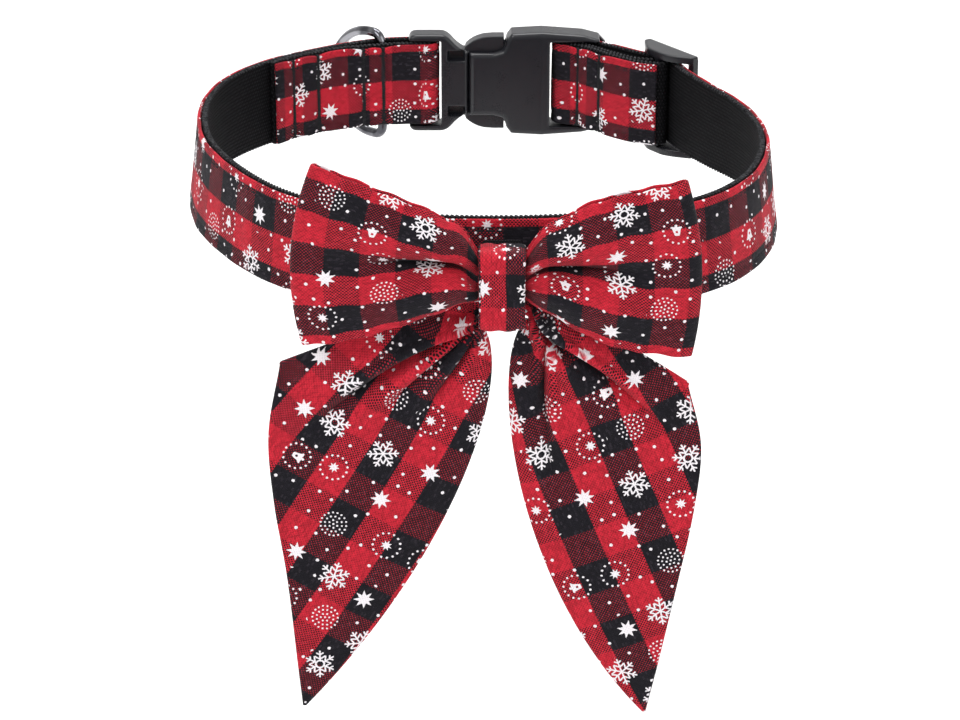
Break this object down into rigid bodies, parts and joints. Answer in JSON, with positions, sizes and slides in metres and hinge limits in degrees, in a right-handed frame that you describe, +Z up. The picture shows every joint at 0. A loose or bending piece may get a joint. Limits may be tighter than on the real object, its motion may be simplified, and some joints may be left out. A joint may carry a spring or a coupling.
{
  "type": "pet bow tie collar",
  "caption": "Adjustable checked fabric pet collar with a side release buckle, a leash ring and a sailor bow with hanging tails.",
  "frame": {"origin": "middle of the neck space, halfway up the strap", "axes": "+Z up along the neck, -Y towards the bow at the front, +X to the right seen from the front"},
  "size_m": [0.1627, 0.178, 0.1578],
  "materials": {
    "webbing": "ribbed nylon webbing",
    "check": "woven cotton check with a white print",
    "plastic": "satin moulded",
    "steel": "polished nickel plate"
  },
  "bodies": {
    "collar": {"strap_webbing": "webbing", "strap_cover": "check", "buckle_prong_half": "plastic", "buckle_socket_half": "plastic", "strap_slider": "plastic", "bow_loop": "check", "bow_tail_left": "check", "bow_tail_right": "check", "bow_knot": "check", "bow_pad": "webbing"},
    "leash_ring": {"leash_ring": "steel"}
  },
  "joints": [
    {"name": "ring_swing", "type": "hinge", "parent": "collar", "child": "leash_ring", "pos_m": [-0.0295, 0.0677, 0], "axis": [0, 0, 1], "range_deg": [-80, 20]}
  ]
}
